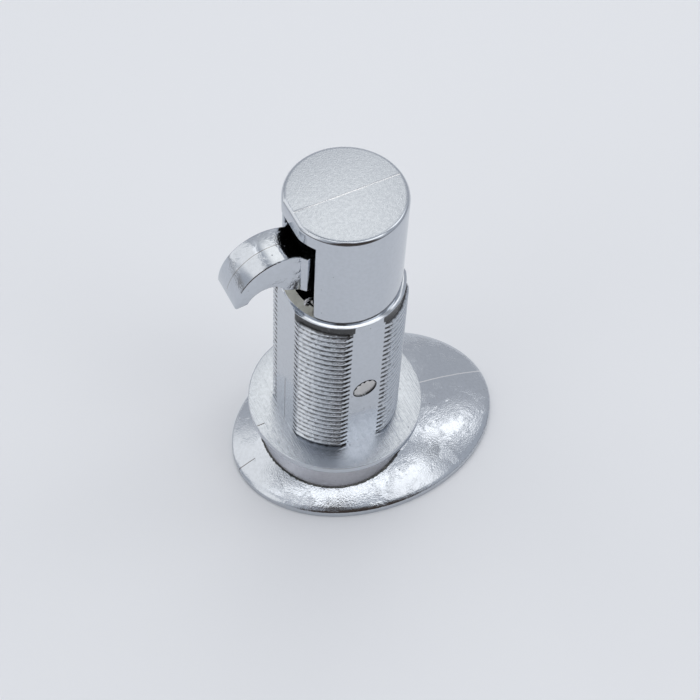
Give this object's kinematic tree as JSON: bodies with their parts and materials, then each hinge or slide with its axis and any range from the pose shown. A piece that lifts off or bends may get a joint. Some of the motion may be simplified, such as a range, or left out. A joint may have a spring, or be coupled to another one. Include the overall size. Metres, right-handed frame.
{
  "type": "pushbutton cupboard latch",
  "caption": "Chromed pushbutton cupboard latch: an oval pull plate with a button, a threaded barrel with flats that goes through the door, and a sprung hook in its slotted head",
  "frame": {"origin": "on the barrel's axis, on the flange face that bears on the outside of the door", "axes": "+Z along the barrel into the cupboard, -X towards the hook's beak, Y along the cross pin"},
  "size_m": [0.0602, 0.0436, 0.0804],
  "materials": {
    "chromed_casting": "polished",
    "chromed_button": "polished",
    "chromed_hook": "polished",
    "pin_steel": "turned",
    "spring_wire": "drawn"
  },
  "bodies": {
    "housing": {"body": "chromed_casting", "pivot_pin": "pin_steel", "button_spring": "spring_wire", "latch_spring": "spring_wire"},
    "button": {"push_button": "chromed_button"},
    "hook": {"latch_hook": "chromed_hook"}
  },
  "joints": [
    {"name": "button_slide", "type": "slide", "parent": "housing", "child": "button", "axis": [0, 0, 1], "range_m": [0, 0.003], "stiffness_N_per_m": 600, "springref_m": -0.004, "deforming": ["button_spring"]},
    {"name": "hook_pivot", "type": "hinge", "parent": "housing", "child": "hook", "pos_m": [0, 0, 0.0183], "axis": [0, 1, 0], "range_deg": [0, 10], "stiffness_Nm_per_rad": 0.03, "springref_deg": -17.19, "deforming": ["latch_spring"]}
  ],
  "couplings": [
    {"joint": "hook_pivot", "follows": "button_slide", "rad_per_m": 58.1}
  ]
}
